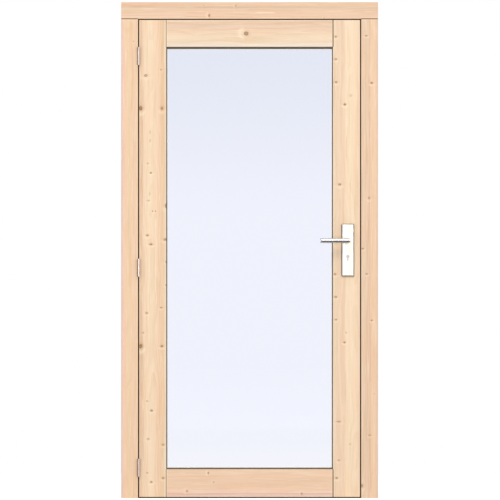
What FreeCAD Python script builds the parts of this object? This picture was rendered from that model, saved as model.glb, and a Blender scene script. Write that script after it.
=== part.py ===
import FreeCAD, Part
import os
import re
import Sketcher

# A single-leaf glazed door in softwood, hung in its own frame and seen from the side that it opens to.
# Millimetres. X runs from the hinge jamb to the lock jamb, Y from the front to the back, Z up.
# The origin is on the outer face of the hinge jamb, at floor level, halfway through the frame's depth.

SIZES = {
    # the door leaf
    "leaf_width": 933,
    "leaf_height": 2015,
    "leaf_thickness": 40,
    "stile_width": 114,
    "top_rail_width": 113,
    "bottom_rail_width": 117,
    "lock_edge_bevel": 2,
    "arris": 1,
    "tenon_length": 60,
    "tenon_thickness": 12,
    "tenon_shoulder": 20,
    "mortise_clearance": 1,
    # the frame round it
    "frame_face": 71,
    "head_face": 70,
    "frame_depth": 90,
    "leaf_gap": 5,
    "floor_gap": 5,
    "stop_width": 17,
    "stop_gap": 5,
    "threshold_height": 17,
    "jamb_tenon_length": 40,
    "jamb_tenon_thickness": 24,
    "jamb_tenon_shoulder": 15,
    "seal_width": 10,
    "seal_thickness": 4.5,
    "seal_inset": 1,
    "seal_round": 2.5,
    # the holes for the screws that hold the frame to the wall
    "fixing_radius": 4,
    "fixing_lowest": 300,
    "fixing_top_drop": 285,
    "fixing_count": 4,
    "fixing_depth": 22,
    # the glass and its beads
    "glass_thickness": 6,
    "glass_lip": 12,
    "glass_rebate": 12,
    "glass_play": 3,
    "gasket_thickness": 3,
    "gasket_reveal": 4,
    "bead_chamfer": 4,
    # the butt hinges
    "upper_hinge_drop": 153,
    "middle_hinge_rise": 968,
    "lower_hinge_rise": 124,
    "hinge_height": 74,
    "hinge_plate_width": 30,
    "hinge_plate_thickness": 2,
    "barrel_radius": 6,
    "knuckle_gap": 0.4,
    "pin_radius": 3,
    "pin_play": 0.05,
    "pin_head_radius": 4.5,
    "pin_head_height": 1,
    # the lock
    "spindle_rise": 1083,
    "backset": 52,
    "key_drop": 67,
    "forend_width": 20,
    "forend_height": 235,
    "forend_thickness": 3,
    "forend_set_in": 1.6,
    "forend_rise": 75,
    "case_thickness": 14,
    "case_above": 62,
    "case_below": 112,
    "case_behind": 32,
    "case_play": 1,
    "bolt_thickness": 11,
    "bolt_length": 36,
    "bolt_proud": 0.6,
    "latch_height": 26,
    "latch_drop": 10,
    "dead_bolt_height": 32,
    "dead_bolt_drop": 58,
    "spindle_hole_radius": 9,
    "hub_bore_radius": 6.5,
    "strike_width": 24,
    "strike_thickness": 2.5,
    "strike_play": 3,
    "socket_depth": 20,
    # the keyholes, the plates and the levers
    "key_head_radius": 6.7,
    "key_tail_radius": 2.7,
    "key_height": 25,
    "key_play": 1.5,
    "cover_play": 0.08,
    "cover_set_in": 1.2,
    "cover_thickness": 3,
    "plate_width": 54,
    "plate_height": 223,
    "plate_above": 71,
    "plate_thickness": 9,
    "plate_round": 5.5,
    "lever_radius": 10,
    "lever_play": 0.08,
    "lever_seat": 7,
    "lever_reach": 48,
    "lever_length": 114,
    "lever_end_round": 1.5,
    "spindle_side": 8,
    "spindle_grip": 30,
}

# Lines that several pieces share, as formulas in the sizes
PLACES = {
    "front": "-frame_depth / 2",
    "back": "frame_depth / 2",
    "leaf_left": "frame_face + leaf_gap",
    "leaf_right": "leaf_left + leaf_width",
    "leaf_back": "front + leaf_thickness",
    "frame_width": "2 * frame_face + 2 * leaf_gap + leaf_width",
    "jamb_length": "floor_gap + leaf_height + leaf_gap",
    "fixing_pitch": "(jamb_length - fixing_lowest - fixing_top_drop) / (fixing_count - 1)",
    "stop_front": "leaf_back + stop_gap",
    "stop_depth": "back - stop_front",
    "rail_length": "leaf_width - 2 * stile_width",
    "top_rail_foot": "leaf_height - top_rail_width",
    "opening_height": "top_rail_foot - bottom_rail_width",
    "pane_edge": "glass_rebate - glass_play",
    "glass_front": "glass_lip + gasket_thickness",
    "glass_back": "glass_front + glass_thickness",
    "upper_hinge_rise": "leaf_height - upper_hinge_drop",
    "pin_across": "frame_face + leaf_gap / 2",
    "knuckle_length": "(hinge_height - 4 * knuckle_gap) / 5",
    "knuckle_pitch": "knuckle_length + knuckle_gap",
    "spindle_across": "leaf_right - backset",
    "spindle_height": "floor_gap + spindle_rise",
    "forend_face": "backset - forend_set_in",
    "forend_back": "forend_face - forend_thickness",
    "key_tail": "key_height - key_head_radius - key_tail_radius",
    "strike_across": "frame_width - frame_face",
    "leaf_middle": "leaf_thickness / 2",
}

doc = FreeCAD.newDocument("glass_door")
sheet = doc.addObject("Spreadsheet::Sheet", "sizes")
for row, (alias, number) in enumerate(SIZES.items(), start=1):
    sheet.set(f"A{row}", str(number))
    sheet.setAlias(f"A{row}", alias)
doc.recompute()

sub_parts = []


def formula(words):
    """The sheet expression for a formula in words, with every place written out in sizes."""

    def bind(match):
        word = match.group(0)
        if word in PLACES:
            return f"({formula(PLACES[word])})"
        return f"sizes.{word}"

    return re.sub(r"[a-z]+(?:_[a-z]+)*", bind, words)


def measure(words):
    """The value of a formula in words, in millimetres."""
    return float(sheet.evalExpression(formula(words)))


def new_piece(label, across, along, up):
    """A body whose own corner or axis is placed in the door at three formulas."""
    body = doc.addObject("PartDesign::Body", label)
    body.Label = label
    body.setExpression(".Placement.Base.x", formula(across))
    body.setExpression(".Placement.Base.y", formula(along))
    body.setExpression(".Placement.Base.z", formula(up))
    sub_parts.append(body)
    return body


def new_sketch(body, name, role, offset):
    """A sketch on one of the body's origin planes, moved along that plane's normal."""
    sketch = body.newObject("Sketcher::SketchObject", name)
    sketch.AttachmentSupport = (next(p for p in body.Origin.OriginFeatures if p.Role == role), [""])
    sketch.MapMode = "FlatFace"
    sketch.setExpression(".AttachmentOffset.Base.z", formula(offset))
    return sketch


def hold_point(sketch, line, end, across, up):
    """Ties a point to two formulas, measured from the sketch's origin."""
    for kind, words in (("DistanceX", across), ("DistanceY", up)):
        rule = sketch.addConstraint(Sketcher.Constraint(kind, -1, 1, line, end, measure(words)))
        sketch.setExpression(f"Constraints[{rule}]", formula(words))


def draw_outline(sketch, corners, closed=True):
    """Straight lines through corners that are each a pair of formulas."""
    points = [FreeCAD.Vector(measure(across), measure(up), 0) for across, up in corners]
    count = len(corners) if closed else len(corners) - 1
    first = sketch.GeometryCount
    for side in range(count):
        sketch.addGeometry(Part.LineSegment(points[side], points[(side + 1) % len(points)]), False)
    for side in range(count - 1):
        sketch.addConstraint(Sketcher.Constraint("Coincident", first + side, 2, first + side + 1, 1))
    if closed:
        sketch.addConstraint(Sketcher.Constraint("Coincident", first + count - 1, 2, first, 1))
    for side in range(count):
        hold_point(sketch, first + side, 1, *corners[side])
    if not closed:
        hold_point(sketch, first + count - 1, 2, *corners[-1])


def draw_rectangle(sketch, left, right, foot, top):
    """A rectangle between four formulas."""
    draw_outline(sketch, [(left, foot), (right, foot), (right, top), (left, top)])


def draw_circle(sketch, across, up, radius):
    """A circle about a point that is a pair of formulas."""
    centre = FreeCAD.Vector(measure(across), measure(up), 0)
    ring = sketch.addGeometry(Part.Circle(centre, FreeCAD.Vector(0, 0, 1), measure(radius)), False)
    hold_point(sketch, ring, 3, across, up)
    rule = sketch.addConstraint(Sketcher.Constraint("Radius", ring, measure(radius)))
    sketch.setExpression(f"Constraints[{rule}]", formula(radius))


def pad(body, name, sketch, length):
    """Material from the sketch along its normal."""
    feature = body.newObject("PartDesign::Pad", name)
    feature.Profile = sketch
    feature.setExpression("Length", formula(length))
    doc.recompute()
    return feature


def cut(body, name, sketch, length):
    """Takes the sketch away along its normal, and makes sure that it met material."""
    before = body.Shape.Volume
    feature = body.newObject("PartDesign::Pocket", name)
    feature.Profile = sketch
    feature.Reversed = True
    feature.setExpression("Length", formula(length))
    doc.recompute()
    if not feature.Shape.Volume < before:
        raise RuntimeError(f"{body.Label}: {name} cuts nothing")
    return feature


def block(body, name, left, right, near, far, foot, top):
    """A rectangular block of material between six formulas."""
    sketch = new_sketch(body, name + "_outline", "XY_Plane", foot)
    draw_rectangle(sketch, left, right, near, far)
    return pad(body, name, sketch, f"({top}) - ({foot})")


def recess(body, name, left, right, near, far, foot, top):
    """A rectangular recess between six formulas."""
    sketch = new_sketch(body, name + "_outline", "XY_Plane", foot)
    draw_rectangle(sketch, left, right, near, far)
    return cut(body, name, sketch, f"({top}) - ({foot})")


NEAR = 0.1


def edges_where(shape, chosen):
    """The names of the edges that a test picks, given the edge's bounding box and the whole shape's."""
    whole = shape.BoundBox
    return [f"Edge{number}" for number, edge in enumerate(shape.Edges, start=1) if chosen(edge.BoundBox, whole)]


def ease(body, size, chosen=lambda edge, whole: True):
    """Small chamfers along the picked edges of the piece so far."""
    base = body.Tip
    feature = body.newObject("PartDesign::Chamfer", "eased_edges")
    feature.Base = (base, edges_where(base.Shape, chosen))
    feature.setExpression("Size", formula(size))
    doc.recompute()
    return feature


def round_over(body, name, size, chosen):
    """Rounds along the picked edges of the piece so far."""
    base = body.Tip
    feature = body.newObject("PartDesign::Fillet", name)
    feature.Base = (base, edges_where(base.Shape, chosen))
    feature.setExpression("Radius", formula(size))
    doc.recompute()
    return feature


def repeat(body, name, features, role, spacing, count):
    """Copies of features in a row along one of the body's axes."""
    feature = body.newObject("PartDesign::LinearPattern", name)
    feature.Originals = features
    feature.Direction = (next(a for a in body.Origin.OriginFeatures if a.Role == role), [""])
    feature.Mode = "Spacing"
    feature.setExpression("Offset", formula(spacing))
    feature.Occurrences = count
    body.Tip = feature
    doc.recompute()
    return feature


# The frame's members

HINGES = {
    "upper": "upper_hinge_rise",
    "middle": "middle_hinge_rise",
    "lower": "lower_hinge_rise",
}


def jamb_tenon(body):
    """The tenon on a jamb's top, which stands in the head."""
    block(
        body,
        "top_tenon",
        "jamb_tenon_shoulder",
        "frame_face - jamb_tenon_shoulder",
        "(frame_depth - jamb_tenon_thickness) / 2",
        "(frame_depth + jamb_tenon_thickness) / 2",
        "jamb_length",
        "jamb_length + jamb_tenon_length",
    )


def fixing_holes(body):
    """Screw holes through a jamb, in the part of its face that the closed leaf hides."""
    sketch = new_sketch(body, "fixing_hole_outline", "YZ_Plane", "0")
    draw_circle(sketch, "fixing_depth", "fixing_lowest", "fixing_radius")
    hole = cut(body, "fixing_hole", sketch, "frame_face")
    repeat(body, "fixing_holes", [hole], "Z_Axis", "fixing_pitch", SIZES["fixing_count"])


def make_jamb(label, across):
    """A jamb: a squared post with eased edges, cut square at the floor."""
    body = new_piece(label, across, "front", "0")
    block(body, "post", "0", "frame_face", "0", "frame_depth", "0", "jamb_length")
    ease(body, "arris", lambda edge, whole: edge.ZMax > whole.ZMin + NEAR)
    jamb_tenon(body)
    fixing_holes(body)
    return body


def hinge_recess(body, level, rise, left, right):
    """A hinge plate's recess in the edge of a post, open to the front."""
    recess(
        body,
        level + "_hinge_recess",
        left,
        right,
        "0",
        "hinge_plate_width",
        f"{rise} - hinge_height / 2",
        f"{rise} + hinge_height / 2",
    )


hinge_jamb = make_jamb("hinge_jamb", "0")
for level, rise in HINGES.items():
    hinge_recess(hinge_jamb, level, f"floor_gap + {rise}", "frame_face - hinge_plate_thickness", "frame_face")

lock_jamb = make_jamb("lock_jamb", "strike_across")
recess(
    lock_jamb,
    "strike_recess",
    "0",
    "strike_thickness",
    "leaf_middle - strike_width / 2",
    "leaf_middle + strike_width / 2",
    "spindle_height + forend_rise - forend_height",
    "spindle_height + forend_rise",
)
for bolt in ("latch", "dead_bolt"):
    recess(
        lock_jamb,
        bolt + "_socket",
        "strike_thickness",
        "strike_thickness + socket_depth",
        "leaf_middle - bolt_thickness / 2 - strike_play",
        "leaf_middle + bolt_thickness / 2 + strike_play",
        f"spindle_height - {bolt}_drop - {bolt}_height / 2 - strike_play",
        f"spindle_height - {bolt}_drop + {bolt}_height / 2 + strike_play",
    )

head = new_piece("frame_head", "0", "front", "jamb_length")
block(head, "beam", "0", "frame_width", "0", "frame_depth", "0", "head_face")
ease(head, "arris")
for side, start in (("hinge", "0"), ("lock", "frame_width - frame_face")):
    recess(
        head,
        side + "_jamb_mortise",
        f"{start} + jamb_tenon_shoulder",
        f"{start} + frame_face - jamb_tenon_shoulder",
        "(frame_depth - jamb_tenon_thickness) / 2",
        "(frame_depth + jamb_tenon_thickness) / 2",
        "0",
        "jamb_tenon_length + mortise_clearance",
    )

# The stops behind the leaf, with their seals, and the threshold between them


def make_stop(label, left, right, foot, top):
    """A planted stop behind the leaf, flush with the frame's back."""
    body = new_piece(label, left, "stop_front", foot)
    block(body, "strip", "0", f"({right}) - ({left})", "0", "stop_depth", "0", f"({top}) - ({foot})")
    ease(body, "arris")
    return body


def make_seal(label, left, right, foot, top):
    """A soft seal on the front of a stop, rounded towards the leaf, which it just misses."""
    body = new_piece(label, left, "stop_front - seal_thickness", foot)
    block(body, "strip", "0", f"({right}) - ({left})", "0", "seal_thickness", "0", f"({top}) - ({foot})")
    round_over(
        body,
        "rounded_front",
        "seal_round",
        lambda edge, whole: edge.YMax < whole.YMin + NEAR and edge.DiagonalLength > whole.DiagonalLength / 2,
    )
    return body


make_stop("head_stop", "frame_face", "strike_across", "jamb_length - stop_width", "jamb_length")
make_stop("hinge_side_stop", "frame_face", "frame_face + stop_width", "0", "jamb_length - stop_width")
make_stop("lock_side_stop", "strike_across - stop_width", "strike_across", "0", "jamb_length - stop_width")
make_stop("threshold", "frame_face + stop_width", "strike_across - stop_width", "0", "threshold_height")
make_seal(
    "head_seal",
    "frame_face + seal_inset",
    "strike_across - seal_inset",
    "jamb_length - seal_inset - seal_width",
    "jamb_length - seal_inset",
)
make_seal(
    "hinge_side_seal",
    "frame_face + seal_inset",
    "frame_face + seal_inset + seal_width",
    "0",
    "jamb_length - seal_inset - seal_width",
)
make_seal(
    "lock_side_seal",
    "strike_across - seal_inset - seal_width",
    "strike_across - seal_inset",
    "0",
    "jamb_length - seal_inset - seal_width",
)
make_seal(
    "threshold_seal",
    "frame_face + stop_width",
    "strike_across - stop_width",
    "threshold_height - seal_inset - seal_width",
    "threshold_height - seal_inset",
)

# The strike plate in the lock jamb

strike = new_piece("strike_plate", "strike_across", "front", "spindle_height")
block(
    strike,
    "plate",
    "0",
    "strike_thickness",
    "leaf_middle - strike_width / 2",
    "leaf_middle + strike_width / 2",
    "forend_rise - forend_height",
    "forend_rise",
)
for bolt in ("latch", "dead_bolt"):
    recess(
        strike,
        bolt + "_hole",
        "0",
        "strike_thickness",
        "leaf_middle - bolt_thickness / 2 - strike_play / 2",
        "leaf_middle + bolt_thickness / 2 + strike_play / 2",
        f"-{bolt}_drop - {bolt}_height / 2 - strike_play / 2",
        f"-{bolt}_drop + {bolt}_height / 2 + strike_play / 2",
    )

# The hinges: one plate let into the jamb, one into the stile, and the pin between their knuckles


def make_hinge_plate(label, up, near, far, first_knuckle, knuckles):
    """A hinge plate with its knuckles rolled round the pin, drawn about the pin's lower end."""
    body = new_piece(label, "pin_across", "front - barrel_radius", up)
    block(body, "plate", near, far, "barrel_radius", "barrel_radius + hinge_plate_width", "0", "hinge_height")
    tab = block(
        body,
        "tab",
        near,
        far,
        "0",
        "barrel_radius",
        first_knuckle,
        f"{first_knuckle} + knuckle_length",
    )
    ring = new_sketch(body, "knuckle_outline", "XY_Plane", first_knuckle)
    draw_circle(ring, "0", "0", "barrel_radius")
    knuckle = pad(body, "knuckle", ring, "knuckle_length")
    repeat(body, "knuckles", [tab, knuckle], "Z_Axis", "2 * knuckle_pitch", knuckles)
    bore = new_sketch(body, "pin_bore_outline", "XY_Plane", "0")
    draw_circle(bore, "0", "0", "pin_radius + pin_play")
    cut(body, "pin_bore", bore, "hinge_height")
    return body


def make_hinge_pin(label, up):
    """The pin, turned with a flat head at each end."""
    body = new_piece(label, "pin_across", "front - barrel_radius", up)
    outline = new_sketch(body, "half_section", "XZ_Plane", "0")
    draw_outline(
        outline,
        [
            ("0", "-pin_head_height"),
            ("pin_head_radius", "-pin_head_height"),
            ("pin_head_radius", "0"),
            ("pin_radius", "0"),
            ("pin_radius", "hinge_height"),
            ("pin_head_radius", "hinge_height"),
            ("pin_head_radius", "hinge_height + pin_head_height"),
            ("0", "hinge_height + pin_head_height"),
        ],
    )
    turned = body.newObject("PartDesign::Revolution", "turned_pin")
    turned.Profile = outline
    turned.ReferenceAxis = (outline, ["V_Axis"])
    turned.Angle = 360
    doc.recompute()
    return body


for level, rise in HINGES.items():
    foot = f"floor_gap + {rise} - hinge_height / 2"
    frame_side = ("-leaf_gap / 2 - hinge_plate_thickness", "-leaf_gap / 2")
    leaf_side = ("leaf_gap / 2", "leaf_gap / 2 + hinge_plate_thickness")
    make_hinge_plate(level + "_hinge_frame_plate", foot, *frame_side, "0", 3)
    make_hinge_plate(level + "_hinge_leaf_plate", foot, *leaf_side, "knuckle_pitch", 2)
    make_hinge_pin(level + "_hinge_pin", foot)

# The leaf: two stiles, two rails tenoned between them, and the rebate for the glass behind


def rail_mortises(body, left, right):
    """The mortises for both rails' tenons."""
    for rail, foot, width in (("bottom", "0", "bottom_rail_width"), ("top", "top_rail_foot", "top_rail_width")):
        recess(
            body,
            rail + "_rail_mortise",
            left,
            right,
            "leaf_middle - tenon_thickness / 2",
            "leaf_middle + tenon_thickness / 2",
            f"{foot} + tenon_shoulder",
            f"{foot} + {width} - tenon_shoulder",
        )


def stile_rebate(body, left, right):
    """The rebate for glass and beads, along the opening and round its corners."""
    recess(
        body,
        "glass_rebate",
        left,
        right,
        "glass_lip",
        "leaf_thickness",
        "bottom_rail_width - glass_rebate",
        "top_rail_foot + glass_rebate",
    )


hinge_stile = new_piece("hinge_stile", "leaf_left", "front", "floor_gap")
block(hinge_stile, "board", "0", "stile_width", "0", "leaf_thickness", "0", "leaf_height")
ease(hinge_stile, "arris")
stile_rebate(hinge_stile, "stile_width - glass_rebate", "stile_width")
rail_mortises(hinge_stile, "stile_width - tenon_length - mortise_clearance", "stile_width")
for level, rise in HINGES.items():
    hinge_recess(hinge_stile, level, rise, "0", "hinge_plate_thickness")


def key_outline(sketch, across, up, play):
    """A keyhole's section: a round head and a narrower tail with a round end below it."""
    centre_across = measure(across)
    centre_up = measure(up)
    head_radius = measure(f"key_head_radius + {play}")
    tail_radius = measure(f"key_tail_radius + {play}")
    tail_up = centre_up - measure("key_tail")
    neck_up = centre_up - (head_radius**2 - tail_radius**2) ** 0.5
    normal = FreeCAD.Vector(0, 0, 1)

    def point(side, height):
        return FreeCAD.Vector(centre_across + side * tail_radius, height, 0)

    head_circle = Part.Circle(FreeCAD.Vector(centre_across, centre_up, 0), normal, head_radius)
    tail_circle = Part.Circle(FreeCAD.Vector(centre_across, tail_up, 0), normal, tail_radius)
    head_start = head_circle.parameter(point(1, neck_up))
    head_end = head_circle.parameter(point(-1, neck_up))
    tail_start = tail_circle.parameter(point(-1, tail_up))
    tail_end = tail_circle.parameter(point(1, tail_up))
    round_head = sketch.addGeometry(Part.ArcOfCircle(head_circle, head_start, head_end), False)
    left_side = sketch.addGeometry(Part.LineSegment(point(-1, neck_up), point(-1, tail_up)), False)
    round_tail = sketch.addGeometry(Part.ArcOfCircle(tail_circle, tail_start, tail_end), False)
    right_side = sketch.addGeometry(Part.LineSegment(point(1, tail_up), point(1, neck_up)), False)
    ring = (round_head, left_side, round_tail, right_side)
    for this_one, next_one in zip(ring, ring[1:] + ring[:1]):
        sketch.addConstraint(Sketcher.Constraint("Coincident", this_one, 2, next_one, 1))
    for side in (left_side, right_side):
        sketch.addConstraint(Sketcher.Constraint("Vertical", side))
    hold_point(sketch, round_head, 3, across, up)
    rule = sketch.addConstraint(Sketcher.Constraint("Radius", round_head, head_radius))
    sketch.setExpression(f"Constraints[{rule}]", formula(f"key_head_radius + {play}"))
    hold_point(sketch, round_tail, 3, across, f"{up} - key_tail")
    hold_point(sketch, round_tail, 1, f"{across} - key_tail_radius - {play}", f"{up} - key_tail")
    words = f"{up} - key_tail"
    rule = sketch.addConstraint(Sketcher.Constraint("DistanceY", -1, 1, round_tail, 2, measure(words)))
    sketch.setExpression(f"Constraints[{rule}]", formula(words))


def through_leaf(body, name, up, back_up_to, depth, radius=None, across="0", play="0"):
    """A round hole, or one of a keyhole's section, through a piece from its back to its front."""
    sketch = new_sketch(body, name + "_outline", "XZ_Plane", f"-({back_up_to})")
    if radius:
        draw_circle(sketch, across, up, radius)
    else:
        key_outline(sketch, across, up, play)
    return cut(body, name, sketch, depth)


lock_stile = new_piece("lock_stile", "leaf_right", "front", "floor_gap")
outline = new_sketch(lock_stile, "board_outline", "XY_Plane", "0")
draw_outline(
    outline,
    [
        ("-stile_width", "0"),
        ("0", "0"),
        ("-lock_edge_bevel", "leaf_thickness"),
        ("-stile_width", "leaf_thickness"),
    ],
)
pad(lock_stile, "board", outline, "leaf_height")
ease(lock_stile, "arris")
stile_rebate(lock_stile, "-stile_width", "glass_rebate - stile_width")
rail_mortises(lock_stile, "-stile_width", "tenon_length + mortise_clearance - stile_width")
recess(
    lock_stile,
    "forend_recess",
    "-forend_set_in - forend_thickness",
    "0",
    "leaf_middle - forend_width / 2",
    "leaf_middle + forend_width / 2",
    "spindle_rise + forend_rise - forend_height",
    "spindle_rise + forend_rise",
)
recess(
    lock_stile,
    "case_mortise",
    "-backset - case_behind - case_play",
    "-forend_set_in - forend_thickness",
    "leaf_middle - case_thickness / 2 - case_play",
    "leaf_middle + case_thickness / 2 + case_play",
    "spindle_rise - case_below - case_play",
    "spindle_rise + case_above + case_play",
)
through_leaf(lock_stile, "spindle_hole", "spindle_rise", "leaf_thickness", "leaf_thickness", "spindle_hole_radius", "-backset")
through_leaf(
    lock_stile,
    "key_way",
    "spindle_rise - key_drop",
    "leaf_thickness",
    "leaf_thickness",
    across="-backset",
    play="key_play",
)


def make_rail(label, up, width, rebate_foot, rebate_top):
    """A rail with a tenon on each end and the glass rebate along its inner edge."""
    body = new_piece(label, "leaf_left + stile_width", "front", up)
    block(body, "board", "0", "rail_length", "0", "leaf_thickness", "0", width)
    ease(body, "arris")
    recess(body, "glass_rebate", "0", "rail_length", "glass_lip", "leaf_thickness", rebate_foot, rebate_top)
    for side, left, right in (("hinge", "-tenon_length", "0"), ("lock", "rail_length", "rail_length + tenon_length")):
        block(
            body,
            side + "_tenon",
            left,
            right,
            "leaf_middle - tenon_thickness / 2",
            "leaf_middle + tenon_thickness / 2",
            "tenon_shoulder",
            f"{width} - tenon_shoulder",
        )
    return body


make_rail("top_rail", "floor_gap + top_rail_foot", "top_rail_width", "0", "glass_rebate")
make_rail("bottom_rail", "floor_gap", "bottom_rail_width", "bottom_rail_width - glass_rebate", "bottom_rail_width")

# The pane with its gasket, and the beads that hold it from behind

pane = new_piece("glass_pane", "leaf_left + stile_width", "front", "floor_gap + bottom_rail_width")
block(
    pane,
    "sheet",
    "-pane_edge",
    "rail_length + pane_edge",
    "glass_front",
    "glass_back",
    "-pane_edge",
    "opening_height + pane_edge",
)

gasket = new_piece("glazing_gasket", "leaf_left + stile_width", "front", "floor_gap + bottom_rail_width")
outline = new_sketch(gasket, "ring_outline", "XZ_Plane", "-glass_front")
draw_rectangle(outline, "-pane_edge", "rail_length + pane_edge", "-pane_edge", "opening_height + pane_edge")
draw_rectangle(
    outline,
    "gasket_reveal",
    "rail_length - gasket_reveal",
    "gasket_reveal",
    "opening_height - gasket_reveal",
)
pad(gasket, "ring", outline, "gasket_thickness")


def make_bead(label, corners, inner):
    """A mitred bead behind the pane, chamfered along its back edge on the opening's side."""
    body = new_piece(label, "leaf_left + stile_width", "front", "floor_gap + bottom_rail_width")
    outline = new_sketch(body, "strip_outline", "XZ_Plane", "-leaf_thickness")
    draw_outline(outline, corners)
    pad(body, "strip", outline, "leaf_thickness - glass_back")

    def back_inner_edge(edge, whole):
        along_opening = abs(getattr(edge, inner) - getattr(whole, inner)) < NEAR
        return along_opening and edge.YMin > whole.YMax - NEAR and edge.DiagonalLength > whole.DiagonalLength / 2

    ease(body, "bead_chamfer", back_inner_edge)
    return body


OUTER_LEFT = ("-glass_rebate", "-glass_rebate")
OUTER_RIGHT = ("rail_length + glass_rebate", "-glass_rebate")
OUTER_TOP_RIGHT = ("rail_length + glass_rebate", "opening_height + glass_rebate")
OUTER_TOP_LEFT = ("-glass_rebate", "opening_height + glass_rebate")
INNER_LEFT = ("0", "0")
INNER_RIGHT = ("rail_length", "0")
INNER_TOP_RIGHT = ("rail_length", "opening_height")
INNER_TOP_LEFT = ("0", "opening_height")
make_bead("bottom_bead", [OUTER_LEFT, OUTER_RIGHT, INNER_RIGHT, INNER_LEFT], "ZMax")
make_bead("top_bead", [INNER_TOP_LEFT, INNER_TOP_RIGHT, OUTER_TOP_RIGHT, OUTER_TOP_LEFT], "ZMin")
make_bead("hinge_side_bead", [OUTER_LEFT, INNER_LEFT, INNER_TOP_LEFT, OUTER_TOP_LEFT], "XMax")
make_bead("lock_side_bead", [INNER_RIGHT, OUTER_RIGHT, OUTER_TOP_RIGHT, INNER_TOP_RIGHT], "XMin")

# The mortise lock, drawn about its spindle axis in the middle of the leaf's front face


def new_lock_piece(label):
    """A body placed at the spindle axis, on the leaf's front face."""
    return new_piece(label, "spindle_across", "front", "spindle_height")


lock = new_lock_piece("mortise_lock")
block(
    lock,
    "forend",
    "forend_back",
    "forend_face",
    "leaf_middle - forend_width / 2",
    "leaf_middle + forend_width / 2",
    "forend_rise - forend_height",
    "forend_rise",
)
block(
    lock,
    "case",
    "-case_behind",
    "forend_back",
    "leaf_middle - case_thickness / 2",
    "leaf_middle + case_thickness / 2",
    "-case_below",
    "case_above",
)
for bolt in ("latch", "dead_bolt"):
    recess(
        lock,
        bolt + "_way",
        "forend_face + bolt_proud - bolt_length",
        "forend_face",
        "leaf_middle - bolt_thickness / 2",
        "leaf_middle + bolt_thickness / 2",
        f"-{bolt}_drop - {bolt}_height / 2",
        f"-{bolt}_drop + {bolt}_height / 2",
    )
through_leaf(lock, "hub_hole", "0", "leaf_thickness", "leaf_thickness", "hub_bore_radius")
through_leaf(lock, "keyhole", "-key_drop", "leaf_thickness", "leaf_thickness")


def make_bolt(label, bolt):
    """A bolt drawn back until it stands just proud of the forend."""
    body = new_lock_piece(label)
    block(
        body,
        "bar",
        "forend_face + bolt_proud - bolt_length",
        "forend_face + bolt_proud",
        "leaf_middle - bolt_thickness / 2",
        "leaf_middle + bolt_thickness / 2",
        f"-{bolt}_drop - {bolt}_height / 2",
        f"-{bolt}_drop + {bolt}_height / 2",
    )
    return body


make_bolt("latch_bolt", "latch")
make_bolt("dead_bolt", "dead_bolt")

# The long plates with their keyhole covers and the levers, one of each on both sides, and the spindle

SIDES = {
    "outside": ("-plate_thickness", "0", "-"),
    "inside": ("leaf_thickness", "leaf_thickness + plate_thickness", "leaf_thickness + "),
}
for side, (near, far, outward) in SIDES.items():
    plate = new_lock_piece(side + "_plate")
    block(
        plate,
        "plate",
        "-plate_width / 2",
        "plate_width / 2",
        near,
        far,
        "plate_above - plate_height",
        "plate_above",
    )
    shown = "YMin" if side == "outside" else "YMax"
    round_over(
        plate,
        "rounded_edges",
        "plate_round",
        lambda edge, whole: edge.YLength > NEAR or abs(getattr(edge, shown) - getattr(whole, shown)) < NEAR,
    )
    through_leaf(plate, "lever_bore", "0", far, "plate_thickness", "lever_radius + lever_play")
    through_leaf(plate, "keyhole", "-key_drop", far, "plate_thickness")

    cover = new_lock_piece(side + "_key_cover")
    cover_back = "-plate_thickness + cover_set_in + cover_thickness"
    if side == "inside":
        cover_back = "leaf_thickness + plate_thickness - cover_set_in"
    outline = new_sketch(cover, "section", "XZ_Plane", f"-({cover_back})")
    key_outline(outline, "0", "-key_drop", "(0 - cover_play)")
    pad(cover, "flap", outline, "cover_thickness")

    lever = new_lock_piece(side + "_lever")
    start = f"{outward}(plate_thickness - lever_seat)"
    grip = f"{outward}(plate_thickness + lever_reach)"
    ring = new_sketch(lever, "section", "XZ_Plane", f"-({start})")
    draw_circle(ring, "0", "0", "lever_radius")
    route = new_sketch(lever, "route", "XY_Plane", "0")
    draw_outline(route, [("0", start), ("0", grip), ("-lever_length", grip)], closed=False)
    doc.recompute()
    tube = lever.newObject("PartDesign::AdditivePipe", "mitred_bar")
    tube.Profile = ring
    tube.Spine = (route, ["Edge1", "Edge2"])
    tube.Transition = "Right corner"
    doc.recompute()
    round_over(lever, "eased_end", "lever_end_round", lambda edge, whole: edge.XMax < whole.XMin + NEAR)
    tip = f"{outward}(plate_thickness - lever_seat + spindle_grip)"
    low, high = (tip, start) if side == "outside" else (start, tip)
    recess(
        lever,
        "spindle_socket",
        "-spindle_side / 2",
        "spindle_side / 2",
        low,
        high,
        "-spindle_side / 2",
        "spindle_side / 2",
    )

spindle = new_lock_piece("spindle")
block(
    spindle,
    "bar",
    "-spindle_side / 2",
    "spindle_side / 2",
    "-plate_thickness + lever_seat - spindle_grip",
    "leaf_thickness + plate_thickness - lever_seat + spindle_grip",
    "-spindle_side / 2",
    "spindle_side / 2",
)

# Every feature is sound and every piece is one closed solid before anything is written

doc.recompute()
for item in doc.Objects:
    if {"Invalid", "Error"} & set(item.State):
        raise RuntimeError(f"{item.Label} is {item.State}")
for piece in sub_parts:
    if piece.Shape.isNull() or not piece.Shape.isValid() or len(piece.Shape.Solids) != 1:
        raise RuntimeError(f"{piece.Label} is not one valid solid")

os.makedirs("parts", exist_ok=True)
for piece in sub_parts:
    piece.Shape.exportStep(f"parts/{piece.Label}.step")
    print(piece.Label, round(piece.Shape.Volume), piece.Shape.BoundBox)
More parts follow.
